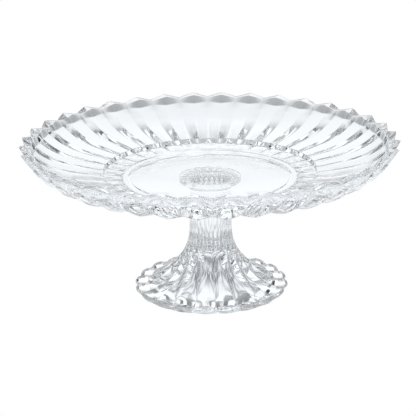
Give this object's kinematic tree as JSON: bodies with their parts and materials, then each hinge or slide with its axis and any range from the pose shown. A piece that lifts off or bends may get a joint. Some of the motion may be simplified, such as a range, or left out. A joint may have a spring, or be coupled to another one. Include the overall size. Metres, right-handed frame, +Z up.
{
  "type": "cake stand",
  "caption": "Footed round cake stand in clear pressed glass: a dished plate with a toothed rim and pleated underside on a fluted, flared pedestal.",
  "frame": {"origin": "centre of the foot's footprint, on the table", "axes": "+Z up along the stand's axis; the plate and the foot are round, so X and Y are any two level directions"},
  "size_m": [0.3038, 0.3038, 0.127],
  "materials": {
    "plate_glass": "clear pressed soda-lime glass, fire-polished, with a faint mould waviness",
    "pedestal_glass": "clear pressed soda-lime glass, fire-polished, with a ground foot",
    "bond": "cured clear adhesive film"
  },
  "bodies": {
    "root": {"plate": "plate_glass", "bond_film": "bond", "pedestal": "pedestal_glass"}
  },
  "joints": []
}
